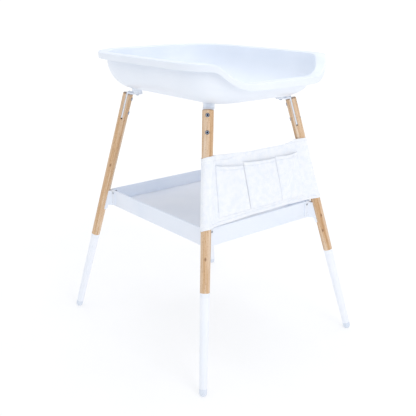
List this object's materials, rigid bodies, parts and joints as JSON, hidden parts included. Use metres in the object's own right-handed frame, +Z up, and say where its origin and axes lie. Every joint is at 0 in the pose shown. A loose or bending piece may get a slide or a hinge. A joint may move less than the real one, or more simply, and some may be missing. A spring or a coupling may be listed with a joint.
{
  "type": "changing table",
  "caption": "Free-standing changing table: moulded tub with a dipped front rim on splayed wooden legs with white lower ends, a storage tray and a fabric pocket organiser.",
  "frame": {"origin": "floor level under the middle of the table", "axes": "+Z up; -Y is the front, where the rim dips and the organiser hangs; +X to the right seen from the front"},
  "size_m": [0.7064, 0.8182, 0.9958],
  "materials": {
    "tub_plastic": "satin white moulded polypropylene",
    "tray_plastic": "satin white moulded plastic",
    "white_plastic": "satin white moulded plastic",
    "beech": "clear satin lacquer on light wood",
    "white_lacquer": "opaque white satin lacquer on wood",
    "white_steel": "white powder coat",
    "zinc_steel": "bright zinc plate",
    "rivet_nylon": "light grey moulded snap rivet",
    "brass": "machined",
    "canvas": "white woven polyester canvas"
  },
  "bodies": {
    "root": {"foot_cap_back_left": "white_plastic", "foot_cap_back_right": "white_plastic", "foot_cap_front_left": "white_plastic", "foot_cap_front_right": "white_plastic", "leg_bolts": "zinc_steel", "leg_collar_back_left": "white_plastic", "leg_collar_back_right": "white_plastic", "leg_collar_front_left": "white_plastic", "leg_collar_front_right": "white_plastic", "leg_inserts": "brass", "leg_nuts": "zinc_steel", "leg_studs": "zinc_steel", "lower_leg_back_left": "white_lacquer", "lower_leg_back_right": "white_lacquer", "lower_leg_front_left": "white_lacquer", "lower_leg_front_right": "white_lacquer", "organiser_panel": "canvas", "organiser_pocket_left": "canvas", "organiser_pocket_middle": "canvas", "organiser_pocket_right": "canvas", "organiser_sleeve_left": "canvas", "organiser_sleeve_right": "canvas", "shelf_bracket_back_left": "white_plastic", "shelf_bracket_back_right": "white_plastic", "shelf_bracket_front_left": "white_plastic", "shelf_bracket_front_right": "white_plastic", "shelf_bracket_screws": "zinc_steel", "shelf_corners": "tray_plastic", "shelf_floor_panel": "tray_plastic", "shelf_inserts": "brass", "shelf_ledges": "tray_plastic", "shelf_wall_back": "tray_plastic", "shelf_wall_front": "tray_plastic", "shelf_wall_left": "tray_plastic", "shelf_wall_right": "tray_plastic", "tray_rivets": "rivet_nylon", "tub": "tub_plastic", "tub_bracket_back_left": "white_steel", "tub_bracket_back_right": "white_steel", "tub_bracket_front_left": "white_steel", "tub_bracket_front_right": "white_steel", "tub_inserts": "brass", "tub_screws": "zinc_steel", "tub_washers": "zinc_steel", "upper_leg_back_left": "beech", "upper_leg_back_right": "beech", "upper_leg_front_left": "beech", "upper_leg_front_right": "beech"}
  },
  "joints": []
}
